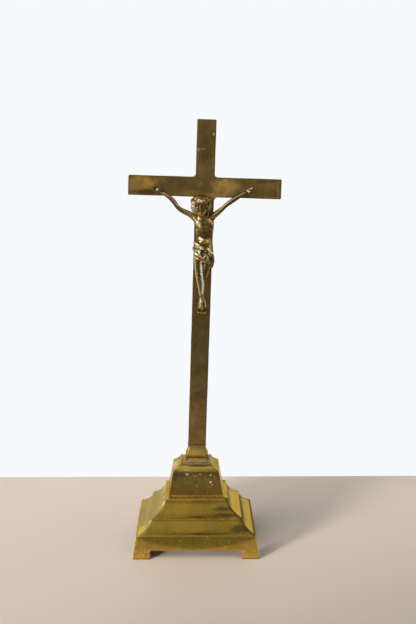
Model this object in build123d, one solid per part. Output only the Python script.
from build123d import *
import os

# Standing altar crucifix in cast brass: a flat Latin cross on a hollow two-tier base,
# with a cast figure nailed to it. The front faces -Y, +X is the viewer's right and +Z is up.
# Pieces are drawn about the base's middle. Millimetres and degrees.

# Base casting: a hollow square moulding on four bracket feet
BASE_FOOT_WIDTH = 90.5
BASE_APRON_TOP_WIDTH = 84.5
BASE_MIDDLE_WIDTH = 65.7
BASE_TOP_WIDTH = 46.0
APRON_HEIGHT = 16.3
LOWER_COVE_RISE = 8.4
LOWER_FILLET = 1.2
UPPER_COVE_RISE = 10.1
UPPER_FILLET = 1.6
LOWER_COVE_HOLLOW = 1.3
UPPER_COVE_HOLLOW = 1.6
BASE_WALL = 3.0
BASE_TOP_WALL = 3.6
BRACKET_FOOT_WIDTH = 12.4
BRACKET_FOOT_HEIGHT = 6.2
BRACKET_CORNER_RADIUS = 1.6

# Plinth casting: a hollow tapered block that stands on the base
PLINTH_BOTTOM_WIDTH = 39.8
PLINTH_SHOULDER_WIDTH = 33.8
PLINTH_TOP_WIDTH = 23.5
PLINTH_TOE_HEIGHT = 1.8
PLINTH_TOE_PROJECTION = 0.5
PLINTH_BODY_HEIGHT = 18.6
PLINTH_COVE_RISE = 4.2
PLINTH_COVE_HOLLOW = 0.45
PLINTH_TOP_FILLET = 1.0
PLINTH_WALL = 3.0
PLINTH_TOP_WALL = 4.4
REGISTER_HEIGHT = 1.6
REGISTER_CLEARANCE = 0.3
SOCKET_DEPTH = 0.8
SOCKET_CLEARANCE = 0.45

# Cross casting: a flat bar with a square foot, slightly off upright and off the middle
CROSS_HEIGHT = 248.8
CROSS_THICKNESS = 7.0
CROSS_LEAN = 1.8
CROSS_OFFSET = 0.8
SHAFT_FOOT_WIDTH = 13.2
HEAD_END_WIDTH = 13.9
BAR_LENGTH = 109.7
BAR_WIDTH = 14.2
BAR_CENTRE_DOWN = 48.0
INNER_CORNER_RADIUS = 2.0
OUTER_CORNER_RADIUS = 1.0
ARRIS_RADIUS = 0.6
CROSS_FOOT_WIDTH = 16.5
CROSS_FOOT_HEIGHT = 4.0
CROSS_FOOT_CORNER_RADIUS = 1.2
FLARE_RISE = 7.8
FLARE_HOLLOW = 0.8
FLARE_LIP = 0.25

# Fixings: one stud and nut clamp the castings, three nails hold the figure
STUD_RADIUS = 2.5
STUD_GRIP = 9.0
STUD_THREAD_CLEARANCE = 0.05
STUD_HOLE_CLEARANCE = 0.3
STUD_TAIL = 1.6
NUT_ACROSS_FLATS = 8.0
NUT_THICKNESS = 4.0
WASHER_RADIUS = 7.0
WASHER_THICKNESS = 1.2
NAIL_RADIUS = 0.6
NAIL_CLEARANCE = 0.05
NAIL_HEAD_RADIUS = 1.1
NAIL_HEAD_HEIGHT = 0.7
NAIL_PEEN_RADIUS = 1.0
NAIL_PEEN_HEIGHT = 0.4

# Figure: where its origin lies across and above the middle of the bar's face
FIGURE_ACROSS = -0.8
FIGURE_UP = 0.3

# Nail places about the figure's origin: across, up, and how far out from the cross the head seats
RIGHT_HAND_NAIL = (-33.0, -2.9, 2.0)
LEFT_HAND_NAIL = (32.2, -2.3, 2.0)
FEET_NAIL = (0.4, -82.4, 5.4)

# Figure: stations about its origin, as (across, out from the cross, up, half breadth, half depth)
TRUNK = [
    (1.5, 4.9, -53.5, 5.8, 4.0),
    (1.6, 4.8, -48.5, 6.8, 4.2),
    (1.6, 4.7, -43.5, 6.5, 3.9),
    (1.5, 4.5, -38.5, 6.0, 3.6),
    (1.6, 4.9, -33.5, 6.1, 3.9),
    (1.5, 5.4, -28.5, 6.6, 4.3),
    (0.9, 5.4, -23.8, 7.0, 4.1),
    (-0.1, 5.2, -19.6, 4.6, 3.0),
]
RIGHT_ARM = [
    (-4.2, 5.4, -23.0, 2.9, 2.7),
    (-8.2, 5.1, -20.3, 2.3, 2.3),
    (-12.0, 4.8, -18.4, 2.0, 2.1),
    (-15.4, 4.5, -16.9, 1.75, 1.8),
    (-18.4, 4.2, -14.6, 1.6, 1.7),
    (-20.6, 3.8, -11.6, 1.7, 1.7),
    (-23.6, 3.2, -8.6, 1.6, 1.5),
    (-27.2, 2.5, -6.4, 1.25, 1.15),
]
RIGHT_HAND = [
    (-26.8, 2.6, -6.6, 1.1, 1.1),
    (-29.4, 1.9, -5.2, 1.2, 1.0),
    (-31.8, 1.4, -3.8, 1.5, 1.0),
    (-34.0, 1.5, -2.4, 1.4, 0.9),
    (-36.0, 2.0, -1.2, 0.8, 0.55),
]
RIGHT_THUMB = [
    (-30.8, 1.5, -3.6, 0.8, 0.8),
    (-31.6, 1.9, -1.9, 0.65, 0.65),
    (-32.7, 2.3, -0.6, 0.45, 0.45),
]
LEFT_ARM = [
    (5.0, 5.4, -23.2, 2.9, 2.7),
    (7.6, 5.1, -20.2, 2.4, 2.3),
    (10.4, 4.8, -17.9, 2.0, 2.1),
    (13.2, 4.5, -15.4, 1.75, 1.8),
    (16.2, 4.2, -12.5, 1.6, 1.7),
    (19.8, 3.7, -9.7, 1.75, 1.7),
    (23.6, 3.1, -7.2, 1.6, 1.5),
    (27.2, 2.4, -5.0, 1.25, 1.15),
]
LEFT_HAND = [
    (26.8, 2.5, -5.2, 1.1, 1.1),
    (29.4, 1.9, -3.8, 1.2, 1.0),
    (31.8, 1.4, -2.5, 1.5, 1.0),
    (34.2, 1.5, -1.3, 1.4, 0.9),
    (36.2, 2.0, -0.4, 0.8, 0.55),
]
LEFT_THUMB = [
    (30.2, 1.5, -2.5, 0.8, 0.8),
    (31.2, 1.9, -0.9, 0.65, 0.65),
    (32.4, 2.3, 0.3, 0.45, 0.45),
]
RIGHT_LEG = [
    (-2.2, 5.0, -49.0, 3.5, 3.2),
    (-1.9, 5.9, -56.0, 3.15, 3.1),
    (-1.2, 6.8, -63.0, 2.8, 2.6),
    (-0.35, 6.0, -69.5, 2.3, 2.4),
    (0.4, 4.9, -76.0, 1.8, 1.8),
    (0.6, 4.3, -82.0, 1.4, 1.5),
]
LEFT_LEG = [
    (4.4, 4.8, -49.0, 3.3, 3.2),
    (3.7, 5.0, -56.0, 2.8, 2.9),
    (2.4, 5.0, -63.0, 2.3, 2.3),
    (1.2, 4.2, -69.5, 1.7, 2.0),
    (1.3, 3.3, -76.0, 1.45, 1.6),
    (1.8, 2.8, -82.0, 1.3, 1.4),
]
RIGHT_FOOT = [
    (0.6, 4.3, -80.6, 1.4, 1.5),
    (0.3, 4.6, -83.4, 1.6, 1.3),
    (0.1, 5.0, -86.0, 1.65, 1.0),
    (0.1, 5.5, -88.6, 1.3, 0.6),
]
LEFT_FOOT = [
    (1.9, 2.9, -80.6, 1.3, 1.3),
    (2.5, 2.9, -83.4, 1.65, 1.25),
    (2.9, 3.3, -86.0, 1.75, 1.0),
    (2.9, 3.6, -88.8, 1.3, 0.6),
]
CHEST = [
    (0.8, 7.2, -21.6, 4.2, 1.4),
    (1.0, 7.6, -23.2, 6.0, 1.9),
    (1.2, 7.8, -24.8, 6.4, 2.1),
    (1.4, 7.9, -26.4, 6.3, 2.1),
    (1.5, 7.8, -28.0, 5.4, 1.7),
]
BELLY = [
    (1.3, 6.8, -34.6, 2.2, 0.8),
    (1.2, 6.9, -36.8, 3.8, 1.4),
    (1.1, 6.9, -39.0, 4.3, 1.7),
    (1.2, 6.9, -41.2, 3.9, 1.5),
    (1.3, 6.8, -43.4, 2.3, 0.9),
]
RIGHT_KNEE = [
    (-1.5, 7.2, -59.4, 1.2, 0.9),
    (-1.35, 7.6, -61.4, 1.7, 1.5),
    (-1.2, 7.7, -63.4, 1.7, 1.6),
    (-1.1, 7.2, -65.4, 1.2, 1.0),
]
NECK = [
    (-0.2, 5.0, -21.5, 2.7, 2.5),
    (-0.8, 5.6, -18.0, 2.3, 2.2),
    (-1.3, 6.4, -14.5, 2.3, 2.2),
]
RIGHT_LOCK = [
    (-6.2, 5.0, -10.6, 1.9, 2.4),
    (-6.8, 5.2, -13.8, 1.8, 2.4),
    (-6.0, 6.0, -17.0, 1.6, 2.1),
    (-4.6, 7.2, -20.0, 1.0, 1.3),
]
LEFT_LOCK = [
    (4.0, 4.8, -10.6, 1.9, 2.4),
    (4.4, 4.8, -13.8, 1.8, 2.3),
    (3.8, 5.4, -17.0, 1.6, 2.0),
    (2.9, 6.4, -20.0, 1.0, 1.2),
]
CLOTH_WRAP = [
    (1.5, 4.8, -41.9, 6.7, 4.4),
    (1.5, 4.8, -43.5, 7.2, 4.9),
    (1.6, 4.9, -45.1, 6.9, 4.7),
    (1.6, 5.0, -46.7, 7.4, 5.2),
    (1.6, 5.1, -48.3, 7.0, 4.8),
    (1.6, 5.2, -49.9, 7.3, 5.2),
    (1.5, 5.3, -51.5, 6.7, 4.7),
    (1.5, 5.4, -53.1, 6.6, 4.7),
]
CLOTH_ROLL = [
    (-5.6, 3.2, -39.6, 0.9, 0.9),
    (-4.8, 7.0, -40.0, 0.9, 0.9),
    (-2.0, 9.0, -41.2, 1.0, 1.0),
    (1.4, 9.7, -42.8, 1.0, 1.0),
    (4.8, 9.3, -45.0, 1.1, 1.1),
    (7.4, 7.6, -47.8, 1.1, 1.1),
    (8.7, 4.4, -49.6, 1.0, 1.0),
]
CLOTH_LOOP = [
    (-0.6, 9.7, -43.4, 0.9, 0.8),
    (-1.5, 10.3, -45.7, 0.9, 0.8),
    (-1.3, 10.6, -48.2, 0.9, 0.8),
    (0.5, 10.7, -49.8, 0.9, 0.8),
    (2.3, 10.5, -48.4, 0.9, 0.8),
    (2.6, 10.2, -46.0, 0.9, 0.8),
    (1.8, 9.8, -43.7, 0.9, 0.8),
]
CLOTH_END = [
    (6.6, 8.0, -46.6, 1.5, 1.4),
    (7.7, 7.6, -50.0, 1.6, 1.5),
    (8.0, 7.0, -53.4, 1.4, 1.4),
    (7.6, 6.6, -56.8, 0.8, 0.9),
]
CLOTH_SLOPE = 19.0

# Figure: the head about its own middle, as stations like the rest, turned as a whole
HEAD_PLACE = (-1.4, 6.4, -12.6)
HEAD_TILT = 7.0
HEAD_NOD = 10.0
HEAD_TURN = 12.0
HAIR = [
    (0, -1.6, -6.4, 3.6, 3.0),
    (0, -1.6, -4.5, 4.8, 4.0),
    (0, -1.6, -2.6, 5.7, 4.7),
    (0, -1.6, -0.7, 6.2, 5.2),
    (0, -1.5, 1.2, 6.3, 5.3),
    (0, -1.5, 3.1, 5.9, 5.1),
    (0, -1.5, 5.0, 4.8, 4.2),
    (0, -1.5, 6.9, 2.4, 2.1),
]
CROWN = [
    (0, -0.9, 1.2, 6.6, 6.0),
    (0, -0.9, 2.4, 7.6, 7.1),
    (0, -0.9, 3.6, 7.6, 7.1),
    (0, -0.9, 4.8, 6.6, 6.0),
]
FACE = [
    (0, 2.6, -6.0, 2.0, 2.0),
    (0, 2.2, -3.8, 3.2, 3.0),
    (0, 1.8, -1.6, 3.9, 3.6),
    (0, 1.5, 0.6, 4.1, 3.9),
    (0, 1.2, 2.8, 4.0, 3.9),
]
NOSE = [
    (0, 4.9, 0.8, 0.5, 0.5),
    (0, 5.5, -0.5, 0.7, 0.7),
    (0, 5.7, -1.8, 0.9, 0.6),
]
BEARD = [
    (0, 3.0, -3.0, 2.6, 2.0),
    (0, 3.6, -5.2, 2.5, 2.0),
    (0, 3.9, -7.2, 1.9, 1.5),
    (0, 3.9, -8.9, 0.8, 0.7),
]
BROW = [
    (-2.7, 4.1, 1.2, 0.4, 0.5),
    (-1.4, 4.8, 1.5, 0.5, 0.6),
    (0, 5.0, 1.4, 0.5, 0.6),
    (1.4, 4.8, 1.5, 0.5, 0.6),
    (2.7, 4.1, 1.2, 0.4, 0.5),
]

# Figure: sloping ledge that the toes run into
FOOTREST_WIDTH = 6.4
FOOTREST_ACROSS = 1.3
FOOTREST_REACH = 6.6
FOOTREST_FALL = 1.8
FOOTREST_EDGE = 1.3
TOE_OVERLAP = 0.8

# Heights that follow from the sizes above
BASE_HEIGHT = APRON_HEIGHT + LOWER_COVE_RISE + LOWER_FILLET + UPPER_COVE_RISE + UPPER_FILLET
BASE_CEILING_Z = BASE_HEIGHT - BASE_TOP_WALL
PLINTH_TOP_Z = BASE_HEIGHT + PLINTH_BODY_HEIGHT + PLINTH_COVE_RISE + PLINTH_TOP_FILLET
PLINTH_CEILING_Z = PLINTH_TOP_Z - PLINTH_TOP_WALL
CROSS_SEAT_Z = PLINTH_TOP_Z - SOCKET_DEPTH
FLARE_BOTTOM_Z = PLINTH_TOP_Z + CROSS_FOOT_HEIGHT
FLARE_TOP_Z = FLARE_BOTTOM_Z + FLARE_RISE
CROSS_TOP_Z = PLINTH_TOP_Z + CROSS_HEIGHT
BAR_CENTRE_Z = CROSS_TOP_Z - BAR_CENTRE_DOWN
FACE_Y = -CROSS_THICKNESS / 2
FOOTREST_TOP = RIGHT_FOOT[-1][2] + TOE_OVERLAP
FOOTREST_FRONT_TOP = FOOTREST_TOP - FOOTREST_FALL
FOOTREST_BOTTOM = FOOTREST_FRONT_TOP - FOOTREST_EDGE


def leaned(shape):
    """Turns what is drawn upright above the cross's foot to the cross's place and lean."""
    return Pos(CROSS_OFFSET, 0, FLARE_TOP_Z) * Rot(0, CROSS_LEAN, 0) * Pos(0, 0, -FLARE_TOP_Z) * shape


def on_face(shape):
    """Places a shape drawn about the figure's origin on the leaning cross's front face."""
    return leaned(Pos(FIGURE_ACROSS, FACE_Y, BAR_CENTRE_Z + FIGURE_UP) * shape)


def outline(lines, low, high):
    """Closes the right half of a profile, given from low to high, and mirrors it."""
    closing = Polyline(high, (0, high[1]), (0, low[1]), low)
    half = make_face(Curve() + lines + closing)
    return half + mirror(half, about=Plane.YZ)


def mitred(front, side):
    """Square moulding with mitred corners: what a front and a side profile share."""
    run_back = extrude(Plane.XZ * front, amount=BASE_FOOT_WIDTH, both=True)
    run_across = extrude(Plane.YZ * side, amount=BASE_FOOT_WIDTH, both=True)
    return run_back & run_across


def stud_hole(low_z, high_z):
    """Clearance hole for the stud through a casting."""
    length = high_z - low_z
    return Pos(0, 0, low_z + length / 2) * Cylinder(STUD_RADIUS + STUD_HOLE_CLEARANCE, length)


def base_profile():
    """Outside of the base from the table up: apron, lower cove, fillet, upper cove and top edge."""
    foot = (BASE_FOOT_WIDTH / 2, 0)
    apron = (BASE_APRON_TOP_WIDTH / 2, APRON_HEIGHT)
    fillet_low = (BASE_MIDDLE_WIDTH / 2, APRON_HEIGHT + LOWER_COVE_RISE)
    fillet_high = (fillet_low[0], fillet_low[1] + LOWER_FILLET)
    edge_low = (BASE_TOP_WIDTH / 2, BASE_HEIGHT - UPPER_FILLET)
    edge_high = (edge_low[0], BASE_HEIGHT)
    lines = [
        Line(foot, apron),
        SagittaArc(apron, fillet_low, LOWER_COVE_HOLLOW),
        Line(fillet_low, fillet_high),
        SagittaArc(fillet_high, edge_low, UPPER_COVE_HOLLOW),
        Line(edge_low, edge_high),
    ]
    return outline(lines, foot, edge_high)


def base_hollow_profile():
    """Inside of the base: plain slopes one wall in from the outside."""
    points = [
        (BASE_FOOT_WIDTH / 2 - BASE_WALL, 0),
        (BASE_APRON_TOP_WIDTH / 2 - BASE_WALL, APRON_HEIGHT - BASE_WALL),
        (BASE_MIDDLE_WIDTH / 2 - BASE_WALL, APRON_HEIGHT + LOWER_COVE_RISE - BASE_WALL),
        (BASE_TOP_WIDTH / 2 - BASE_WALL, BASE_CEILING_Z),
    ]
    return outline([Polyline(*points)], points[0], points[-1])


def plinth_hollow_points():
    """Right half of the plinth's inside, from its open bottom up."""
    return [
        (PLINTH_BOTTOM_WIDTH / 2 - PLINTH_WALL, BASE_HEIGHT),
        (PLINTH_SHOULDER_WIDTH / 2 - PLINTH_WALL, PLINTH_CEILING_Z - PLINTH_WALL),
        (PLINTH_TOP_WIDTH / 2 - PLINTH_WALL, PLINTH_CEILING_Z),
    ]


def register_profile():
    """Low pad on the base that keeps the plinth in place, parallel to the plinth's inside."""
    (low_x, low_z), (high_x, high_z), _ = plinth_hollow_points()
    draft = (low_x - high_x) / (high_z - low_z)
    low = (low_x - REGISTER_CLEARANCE, BASE_HEIGHT)
    high = (low[0] - draft * REGISTER_HEIGHT, BASE_HEIGHT + REGISTER_HEIGHT)
    return outline([Line(low, high)], low, high)


def make_base():
    """Base casting with its bracket feet, register and stud hole."""
    solid = mitred(base_profile(), base_profile())
    solid -= mitred(base_hollow_profile(), base_hollow_profile())
    gap = BASE_FOOT_WIDTH - 2 * BRACKET_FOOT_WIDTH
    arch = fillet(Rectangle(gap, 2 * BRACKET_FOOT_HEIGHT).vertices(), BRACKET_CORNER_RADIUS)
    for plane in (Plane.XZ, Plane.YZ):
        solid -= extrude(plane * arch, amount=BASE_FOOT_WIDTH, both=True)
    solid += mitred(register_profile(), register_profile())
    return solid - stud_hole(BASE_CEILING_Z, BASE_HEIGHT + REGISTER_HEIGHT)


def plinth_profile():
    """Outside of the plinth: toe, tapered body, cove and top edge."""
    body = (PLINTH_BOTTOM_WIDTH / 2, BASE_HEIGHT + PLINTH_TOE_HEIGHT)
    toe_high = (body[0] + PLINTH_TOE_PROJECTION, body[1])
    toe_low = (toe_high[0], BASE_HEIGHT)
    shoulder = (PLINTH_SHOULDER_WIDTH / 2, BASE_HEIGHT + PLINTH_BODY_HEIGHT)
    edge_low = (PLINTH_TOP_WIDTH / 2, PLINTH_TOP_Z - PLINTH_TOP_FILLET)
    edge_high = (edge_low[0], PLINTH_TOP_Z)
    lines = [
        Polyline(toe_low, toe_high, body, shoulder),
        SagittaArc(shoulder, edge_low, PLINTH_COVE_HOLLOW),
        Line(edge_low, edge_high),
    ]
    return outline(lines, toe_low, edge_high)


def make_plinth():
    """Plinth casting with the shallow socket that the cross's foot stands in."""
    points = plinth_hollow_points()
    hollow = outline([Polyline(*points)], points[0], points[-1])
    solid = mitred(plinth_profile(), plinth_profile()) - mitred(hollow, hollow)
    socket_width = CROSS_FOOT_WIDTH + 2 * SOCKET_CLEARANCE
    socket = RectangleRounded(socket_width, socket_width, CROSS_FOOT_CORNER_RADIUS + SOCKET_CLEARANCE)
    solid -= Pos(CROSS_OFFSET, 0, CROSS_SEAT_Z) * extrude(socket, SOCKET_DEPTH)
    return solid - stud_hole(PLINTH_CEILING_Z, CROSS_SEAT_Z)


def flare_profile(half_neck):
    """Foot of the cross on one pair of sides: upright block, then a hollow flare up to the shaft."""
    low = (CROSS_FOOT_WIDTH / 2, CROSS_SEAT_Z)
    block = (low[0], FLARE_BOTTOM_Z)
    neck = (half_neck + FLARE_LIP, FLARE_TOP_Z)
    return outline([Line(low, block), SagittaArc(block, neck, FLARE_HOLLOW)], low, neck)


def cross_foot():
    """Square flared foot with eased corners."""
    foot = mitred(flare_profile(SHAFT_FOOT_WIDTH / 2), flare_profile(CROSS_THICKNESS / 2))
    eased = RectangleRounded(CROSS_FOOT_WIDTH, CROSS_FOOT_WIDTH, CROSS_FOOT_CORNER_RADIUS)
    return foot & (Pos(0, 0, CROSS_SEAT_Z) * extrude(eased, FLARE_TOP_Z - CROSS_SEAT_Z))


def cross_plate():
    """Shaft and bar as one plate with eased corners and worn arrises; it starts inside the flare."""
    low_z = FLARE_TOP_Z - FLARE_RISE / 2
    foot_half, head_half = SHAFT_FOOT_WIDTH / 2, HEAD_END_WIDTH / 2
    foot_corners = [(-foot_half, low_z), (foot_half, low_z)]
    head_corners = [(head_half, CROSS_TOP_Z), (-head_half, CROSS_TOP_Z)]
    shaft = Polyline(*foot_corners, *head_corners, close=True)
    face = make_face(shaft) + Pos(0, BAR_CENTRE_Z) * Rectangle(BAR_LENGTH, BAR_WIDTH)
    near_bar = [v for v in face.vertices() if abs(v.Y - BAR_CENTRE_Z) < BAR_WIDTH]
    face = fillet([v for v in near_bar if abs(v.X) < BAR_LENGTH / 4], INNER_CORNER_RADIUS)
    ends = [v for v in face.vertices() if abs(v.X) > BAR_LENGTH / 2 - BAR_WIDTH / 4]
    face = fillet(ends + face.vertices().sort_by(Axis.Y)[-2:], OUTER_CORNER_RADIUS)
    plate = extrude(Plane.XZ * face, amount=CROSS_THICKNESS / 2, both=True)
    sides = plate.faces().sort_by(Axis.Y)
    arrises = [e for side in (sides[0], sides[-1]) for e in side.edges()]
    return fillet([e for e in arrises if e.center().Z > FLARE_TOP_Z - FLARE_RISE / 4], ARRIS_RADIUS)


def nail_bore(place, reach):
    """Bore for a nail, from a distance out in front of the cross's face to its back."""
    across, up, _ = place
    bore = Rot(90, 0, 0) * Cylinder(NAIL_RADIUS + NAIL_CLEARANCE, reach + CROSS_THICKNESS)
    return Pos(across, (CROSS_THICKNESS - reach) / 2, up) * bore


def make_cross():
    """Cross casting, drilled for the nails and tapped for the stud."""
    solid = leaned(cross_plate()) + Pos(CROSS_OFFSET, 0, 0) * cross_foot()
    for place in (RIGHT_HAND_NAIL, LEFT_HAND_NAIL, FEET_NAIL):
        solid -= on_face(nail_bore(place, place[2]))
    tapped = Cylinder(STUD_RADIUS + STUD_THREAD_CLEARANCE, STUD_GRIP)
    return solid - Pos(0, 0, CROSS_SEAT_Z + STUD_GRIP / 2) * tapped


def make_nail(place):
    """Nail with a domed head on the figure, peened over at the back of the cross."""
    across, up, out = place
    tail = -out - CROSS_THICKNESS
    profile = Curve() + [
        TangentArc((0, NAIL_HEAD_HEIGHT), (NAIL_HEAD_RADIUS, 0), tangent=(1, 0)),
        Polyline((NAIL_HEAD_RADIUS, 0), (NAIL_RADIUS, 0), (NAIL_RADIUS, tail), (NAIL_PEEN_RADIUS, tail)),
        Polyline((NAIL_PEEN_RADIUS, tail), (0, tail - NAIL_PEEN_HEIGHT), (0, NAIL_HEAD_HEIGHT)),
    ]
    nail = revolve(make_face(profile), Axis.Y)
    return on_face(Pos(across, -out, up) * Rot(180, 0, 0) * nail)


def limb(stations):
    """Tapering limb lofted through oval stations, each square to the limb."""
    centres = [Vector(across, -out, up) for across, out, up, _, _ in stations]
    rings = []
    for index, (_, _, _, half_breadth, half_depth) in enumerate(stations):
        ahead = centres[min(index + 1, len(centres) - 1)]
        behind = centres[max(index - 1, 0)]
        square = Plane(origin=centres[index], x_dir=(0, 1, 0), z_dir=ahead - behind)
        rings.append(square * Ellipse(half_depth, half_breadth))
    return loft(rings)


def stacked(stations, slope=0.0):
    """Oval form lofted through level stations, or stations that slope down to the viewer's right."""
    rings = []
    for across, out, up, half_breadth, half_depth in stations:
        rings.append(Pos(across, -out, up) * Rot(0, slope, 0) * Ellipse(half_breadth, half_depth))
    return loft(rings)


def joined(shapes):
    """Fuses shapes one after another into one casting."""
    whole = shapes[0]
    for shape in shapes[1:]:
        whole += shape
    return whole


def make_head():
    """Head with a band-like crown around the hair, bearded, bowed and turned to the viewer's left."""
    across, out, up = HEAD_PLACE
    shape = joined([stacked(HAIR), stacked(CROWN), stacked(FACE), limb(BROW), limb(NOSE), limb(BEARD)])
    return Pos(across, -out, up) * Rot(HEAD_NOD, -HEAD_TILT, 0) * Rot(0, 0, -HEAD_TURN) * shape


def make_footrest():
    """Small sloping ledge under the feet."""
    side = Polyline(
        (0, FOOTREST_TOP),
        (-FOOTREST_REACH, FOOTREST_FRONT_TOP),
        (-FOOTREST_REACH, FOOTREST_BOTTOM),
        (0, FOOTREST_BOTTOM),
        close=True,
    )
    ledge = extrude(Plane.YZ * make_face(side), amount=FOOTREST_WIDTH / 2, both=True)
    return Pos(FOOTREST_ACROSS, 0, 0) * ledge


def make_loincloth():
    """Wrapped cloth with a rolled top edge, a loop in front and a hanging end."""
    folds = [limb(stations) for stations in (CLOTH_ROLL, CLOTH_LOOP, CLOTH_END)]
    return joined([stacked(CLOTH_WRAP, CLOTH_SLOPE)] + folds)


def make_corpus():
    """Figure as one casting, filed flat where it lies on the cross, spot-faced for the nail heads."""
    limbs = (RIGHT_ARM, LEFT_ARM, RIGHT_HAND, LEFT_HAND, RIGHT_THUMB, LEFT_THUMB)
    limbs += (RIGHT_LEG, LEFT_LEG, RIGHT_FOOT, LEFT_FOOT, NECK, RIGHT_LOCK, LEFT_LOCK)
    shape = joined([stacked(stations) for stations in (TRUNK, CHEST, BELLY, RIGHT_KNEE)])
    shape = joined([shape] + [limb(stations) for stations in limbs])
    shape = joined([shape, make_head(), make_loincloth(), make_footrest()])
    shape -= Pos(0, BAR_LENGTH / 2, 0) * Box(BAR_LENGTH, BAR_LENGTH, 2 * CROSS_HEIGHT)
    for place in (RIGHT_HAND_NAIL, LEFT_HAND_NAIL, FEET_NAIL):
        across, up, out = place
        spot = Rot(90, 0, 0) * Cylinder(NAIL_HEAD_RADIUS + NAIL_CLEARANCE, 2 * out)
        shape -= nail_bore(place, out)
        shape -= Pos(across, -2 * out, up) * spot
    return on_face(shape)


def make_stud():
    """Stud from the cross's foot down to just below the nut."""
    low_z = BASE_CEILING_Z - WASHER_THICKNESS - NUT_THICKNESS - STUD_TAIL
    high_z = CROSS_SEAT_Z + STUD_GRIP
    return Pos(0, 0, (low_z + high_z) / 2) * Cylinder(STUD_RADIUS, high_z - low_z)


def make_washer():
    """Plain washer under the base's top wall."""
    ring = Circle(WASHER_RADIUS) - Circle(STUD_RADIUS + STUD_HOLE_CLEARANCE)
    return Pos(0, 0, BASE_CEILING_Z - WASHER_THICKNESS) * extrude(ring, WASHER_THICKNESS)


def make_nut():
    """Hexagon nut below the washer."""
    hexagon = RegularPolygon(NUT_ACROSS_FLATS / 2, 6, major_radius=False)
    ring = hexagon - Circle(STUD_RADIUS + STUD_THREAD_CLEARANCE)
    return Pos(0, 0, BASE_CEILING_Z - WASHER_THICKNESS - NUT_THICKNESS) * extrude(ring, NUT_THICKNESS)


def main():
    """Builds every piece, sets the origin at the middle of the whole on the table, and writes the files."""
    pieces = {
        "base_casting": make_base(),
        "plinth_casting": make_plinth(),
        "cross": make_cross(),
        "corpus": make_corpus(),
        "right_hand_nail": make_nail(RIGHT_HAND_NAIL),
        "left_hand_nail": make_nail(LEFT_HAND_NAIL),
        "feet_nail": make_nail(FEET_NAIL),
        "tie_stud": make_stud(),
        "washer": make_washer(),
        "nut": make_nut(),
    }
    whole = Compound(children=[Pos(0, 0, 0) * shape for shape in pieces.values()]).bounding_box()
    to_origin = Pos(-whole.center().X, -whole.center().Y, -whole.min.Z)
    os.makedirs("parts", exist_ok=True)
    for name, shape in pieces.items():
        export_step(to_origin * shape, f"parts/{name}.step")
        print(name, "solids", len(shape.solids()), "volume", round(shape.volume, 1))


main()
